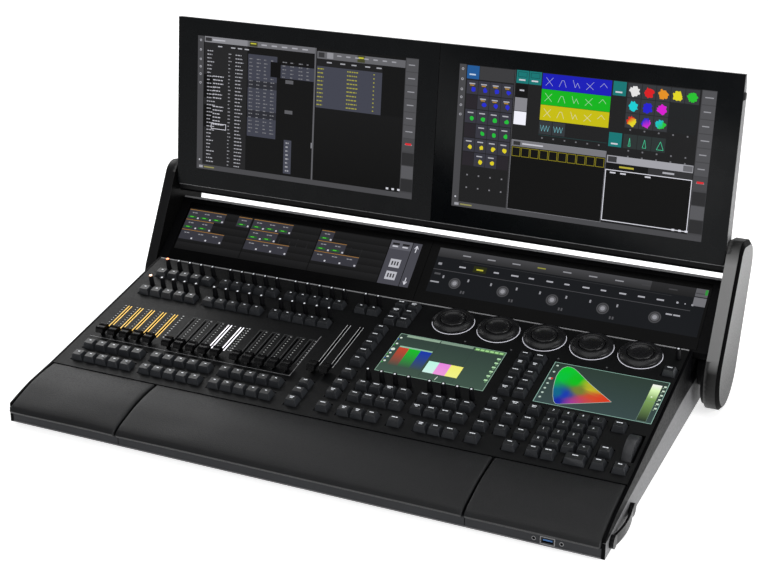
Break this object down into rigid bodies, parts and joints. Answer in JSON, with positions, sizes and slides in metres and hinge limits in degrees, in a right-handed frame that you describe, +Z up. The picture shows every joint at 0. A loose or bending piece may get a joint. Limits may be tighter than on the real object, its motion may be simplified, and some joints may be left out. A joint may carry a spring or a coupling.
{
  "type": "lighting control desk",
  "caption": "Sloping control desk with key banks, faders, dual encoders and a folding twin-screen wing on two arms.",
  "frame": {"origin": "centre of the footprint on the surface under the rubber feet", "axes": "+X to the operator's right, +Y towards the back of the desk, +Z up"},
  "size_m": [0.88, 0.596, 0.4446],
  "materials": {
    "tray_metal": "satin",
    "black_paint": "matte",
    "rail_paint": "satin",
    "rest_leather": "satin",
    "cover_paint": "matte",
    "socket_black": "satin",
    "foot_rubber": "matte",
    "strap_rubber": "satin",
    "supply_steel": "satin",
    "board_green": "satin",
    "deck_paint": "matte",
    "screen_glass": "gloss",
    "module_plastic": "matte",
    "knob_black": "satin",
    "wheel_plastic": "satin",
    "arm_metal": "satin",
    "shaft_steel": "satin",
    "strip_paint": "satin",
    "display_glass": "gloss",
    "wing_metal": "satin",
    "wing_front_glass": "gloss",
    "hinge_metal": "satin",
    "key_plastic": "satin",
    "fader_plastic": "satin",
    "ring_black": "satin",
    "encoder_black": "satin"
  },
  "bodies": {
    "base": {"base_tray": "tray_metal", "side_cheeks": "black_paint", "front_rail": "rail_paint", "wrist_rest_left": "rest_leather", "wrist_rest_centre": "rest_leather", "wrist_rest_right": "rest_leather", "rear_cover": "cover_paint", "sockets": "socket_black", "feet": "foot_rubber", "strap_handles": "strap_rubber", "power_supply": "supply_steel", "main_board": "board_green", "deck_panel": "deck_paint", "command_screens": "screen_glass", "control_modules": "module_plastic", "rotary_knobs": "knob_black"},
    "wing_lift": {"arm_left": "arm_metal", "arm_right": "arm_metal", "hinge_shafts": "shaft_steel", "strip_housing": "strip_paint", "strip_displays": "display_glass"},
    "wing_tilt": {"wing_housing": "wing_metal", "wing_glass": "wing_front_glass", "wing_hinge_blocks": "hinge_metal"},
    "level_wheel": {"level_wheel": "wheel_plastic"},
    "fader_01": {"fader_01": "fader_plastic"},
    "fader_02": {"fader_02": "fader_plastic"},
    "fader_03": {"fader_03": "fader_plastic"},
    "fader_04": {"fader_04": "fader_plastic"},
    "fader_05": {"fader_05": "fader_plastic"},
    "fader_06": {"fader_06": "fader_plastic"},
    "fader_07": {"fader_07": "fader_plastic"},
    "fader_08": {"fader_08": "fader_plastic"},
    "fader_09": {"fader_09": "fader_plastic"},
    "fader_10": {"fader_10": "fader_plastic"},
    "fader_11": {"fader_11": "fader_plastic"},
    "fader_12": {"fader_12": "fader_plastic"},
    "fader_13": {"fader_13": "fader_plastic"},
    "fader_14": {"fader_14": "fader_plastic"},
    "fader_15": {"fader_15": "fader_plastic"},
    "master_fader_1": {"master_fader_1": "fader_plastic"},
    "master_fader_2": {"master_fader_2": "fader_plastic"},
    "playback_keys": {"playback_keys": "key_plastic"},
    "executor_keys": {"executor_keys": "key_plastic"},
    "master_keys": {"master_keys": "key_plastic"},
    "view_keys": {"view_keys": "key_plastic"},
    "command_keys": {"command_keys": "key_plastic"},
    "function_keys": {"function_keys": "key_plastic"},
    "number_keys": {"number_keys": "key_plastic"},
    "encoder_ring_1": {"encoder_ring_1": "ring_black"},
    "encoder_knob_1": {"encoder_knob_1": "encoder_black"},
    "encoder_ring_2": {"encoder_ring_2": "ring_black"},
    "encoder_knob_2": {"encoder_knob_2": "encoder_black"},
    "encoder_ring_3": {"encoder_ring_3": "ring_black"},
    "encoder_knob_3": {"encoder_knob_3": "encoder_black"},
    "encoder_ring_4": {"encoder_ring_4": "ring_black"},
    "encoder_knob_4": {"encoder_knob_4": "encoder_black"},
    "encoder_ring_5": {"encoder_ring_5": "ring_black"},
    "encoder_knob_5": {"encoder_knob_5": "encoder_black"}
  },
  "joints": [
    {"name": "wing_lift_hinge", "type": "hinge", "parent": "base", "child": "wing_lift", "pos_m": [0, 0.144, 0.06], "axis": [1, 0, 0], "range_deg": [-30, 0]},
    {"name": "wing_tilt_hinge", "type": "hinge", "parent": "wing_lift", "child": "wing_tilt", "pos_m": [0, 0.205, 0.184], "axis": [1, 0, 0], "range_deg": [-43, 10]},
    {"name": "level_wheel_spin", "type": "hinge", "parent": "base", "child": "level_wheel", "pos_m": [0.386, -0.12737, 0.04573], "axis": [1, 0, 0], "continuous": true},
    {"name": "encoder_ring_1_spin", "type": "hinge", "parent": "base", "child": "encoder_ring_1", "pos_m": [0.0835, 0.05071, 0.09898], "axis": [0, -0.1924, 0.9813], "continuous": true},
    {"name": "encoder_knob_1_spin", "type": "hinge", "parent": "base", "child": "encoder_knob_1", "pos_m": [0.0835, 0.05071, 0.09898], "axis": [0, -0.1924, 0.9813], "continuous": true},
    {"name": "encoder_ring_2_spin", "type": "hinge", "parent": "base", "child": "encoder_ring_2", "pos_m": [0.1485, 0.05071, 0.09898], "axis": [0, -0.1924, 0.9813], "continuous": true},
    {"name": "encoder_knob_2_spin", "type": "hinge", "parent": "base", "child": "encoder_knob_2", "pos_m": [0.1485, 0.05071, 0.09898], "axis": [0, -0.1924, 0.9813], "continuous": true},
    {"name": "encoder_ring_3_spin", "type": "hinge", "parent": "base", "child": "encoder_ring_3", "pos_m": [0.2135, 0.05071, 0.09898], "axis": [0, -0.1924, 0.9813], "continuous": true},
    {"name": "encoder_knob_3_spin", "type": "hinge", "parent": "base", "child": "encoder_knob_3", "pos_m": [0.2135, 0.05071, 0.09898], "axis": [0, -0.1924, 0.9813], "continuous": true},
    {"name": "encoder_ring_4_spin", "type": "hinge", "parent": "base", "child": "encoder_ring_4", "pos_m": [0.2785, 0.05071, 0.09898], "axis": [0, -0.1924, 0.9813], "continuous": true},
    {"name": "encoder_knob_4_spin", "type": "hinge", "parent": "base", "child": "encoder_knob_4", "pos_m": [0.2785, 0.05071, 0.09898], "axis": [0, -0.1924, 0.9813], "continuous": true},
    {"name": "encoder_ring_5_spin", "type": "hinge", "parent": "base", "child": "encoder_ring_5", "pos_m": [0.3435, 0.05071, 0.09898], "axis": [0, -0.1924, 0.9813], "continuous": true},
    {"name": "encoder_knob_5_spin", "type": "hinge", "parent": "base", "child": "encoder_knob_5", "pos_m": [0.3435, 0.05071, 0.09898], "axis": [0, -0.1924, 0.9813], "continuous": true},
    {"name": "fader_01_slide", "type": "slide", "parent": "base", "child": "fader_01", "axis": [0, 0.9813, 0.1924], "range_m": [0, 0.06]},
    {"name": "fader_02_slide", "type": "slide", "parent": "base", "child": "fader_02", "axis": [0, 0.9813, 0.1924], "range_m": [0, 0.06]},
    {"name": "fader_03_slide", "type": "slide", "parent": "base", "child": "fader_03", "axis": [0, 0.9813, 0.1924], "range_m": [0, 0.06]},
    {"name": "fader_04_slide", "type": "slide", "parent": "base", "child": "fader_04", "axis": [0, 0.9813, 0.1924], "range_m": [0, 0.06]},
    {"name": "fader_05_slide", "type": "slide", "parent": "base", "child": "fader_05", "axis": [0, 0.9813, 0.1924], "range_m": [0, 0.06]},
    {"name": "fader_06_slide", "type": "slide", "parent": "base", "child": "fader_06", "axis": [0, 0.9813, 0.1924], "range_m": [0, 0.06]},
    {"name": "fader_07_slide", "type": "slide", "parent": "base", "child": "fader_07", "axis": [0, 0.9813, 0.1924], "range_m": [0, 0.06]},
    {"name": "fader_08_slide", "type": "slide", "parent": "base", "child": "fader_08", "axis": [0, 0.9813, 0.1924], "range_m": [0, 0.06]},
    {"name": "fader_09_slide", "type": "slide", "parent": "base", "child": "fader_09", "axis": [0, 0.9813, 0.1924], "range_m": [0, 0.06]},
    {"name": "fader_10_slide", "type": "slide", "parent": "base", "child": "fader_10", "axis": [0, 0.9813, 0.1924], "range_m": [0, 0.06]},
    {"name": "fader_11_slide", "type": "slide", "parent": "base", "child": "fader_11", "axis": [0, 0.9813, 0.1924], "range_m": [0, 0.06]},
    {"name": "fader_12_slide", "type": "slide", "parent": "base", "child": "fader_12", "axis": [0, 0.9813, 0.1924], "range_m": [0, 0.06]},
    {"name": "fader_13_slide", "type": "slide", "parent": "base", "child": "fader_13", "axis": [0, 0.9813, 0.1924], "range_m": [0, 0.06]},
    {"name": "fader_14_slide", "type": "slide", "parent": "base", "child": "fader_14", "axis": [0, 0.9813, 0.1924], "range_m": [0, 0.06]},
    {"name": "fader_15_slide", "type": "slide", "parent": "base", "child": "fader_15", "axis": [0, 0.9813, 0.1924], "range_m": [0, 0.06]},
    {"name": "master_fader_1_slide", "type": "slide", "parent": "base", "child": "master_fader_1", "axis": [0, 0.9813, 0.1924], "range_m": [0, 0.1]},
    {"name": "master_fader_2_slide", "type": "slide", "parent": "base", "child": "master_fader_2", "axis": [0, 0.9813, 0.1924], "range_m": [0, 0.1]},
    {"name": "playback_keys_press", "type": "slide", "parent": "base", "child": "playback_keys", "axis": [0, 0.1924, -0.9813], "range_m": [0, 0.0035], "stiffness_N_per_m": 4800, "springref_m": -0.002},
    {"name": "executor_keys_press", "type": "slide", "parent": "base", "child": "executor_keys", "axis": [0, 0.1924, -0.9813], "range_m": [0, 0.0035], "stiffness_N_per_m": 4500, "springref_m": -0.002},
    {"name": "master_keys_press", "type": "slide", "parent": "base", "child": "master_keys", "axis": [0, 0.1924, -0.9813], "range_m": [0, 0.0035], "stiffness_N_per_m": 450, "springref_m": -0.002},
    {"name": "view_keys_press", "type": "slide", "parent": "base", "child": "view_keys", "axis": [0, 0.1924, -0.9813], "range_m": [0, 0.0035], "stiffness_N_per_m": 2250, "springref_m": -0.002},
    {"name": "command_keys_press", "type": "slide", "parent": "base", "child": "command_keys", "axis": [0, 0.1924, -0.9813], "range_m": [0, 0.0035], "stiffness_N_per_m": 3450, "springref_m": -0.002},
    {"name": "function_keys_press", "type": "slide", "parent": "base", "child": "function_keys", "axis": [0, 0.1924, -0.9813], "range_m": [0, 0.0035], "stiffness_N_per_m": 3150, "springref_m": -0.002},
    {"name": "number_keys_press", "type": "slide", "parent": "base", "child": "number_keys", "axis": [0, 0.1924, -0.9813], "range_m": [0, 0.0035], "stiffness_N_per_m": 3600, "springref_m": -0.002}
  ]
}
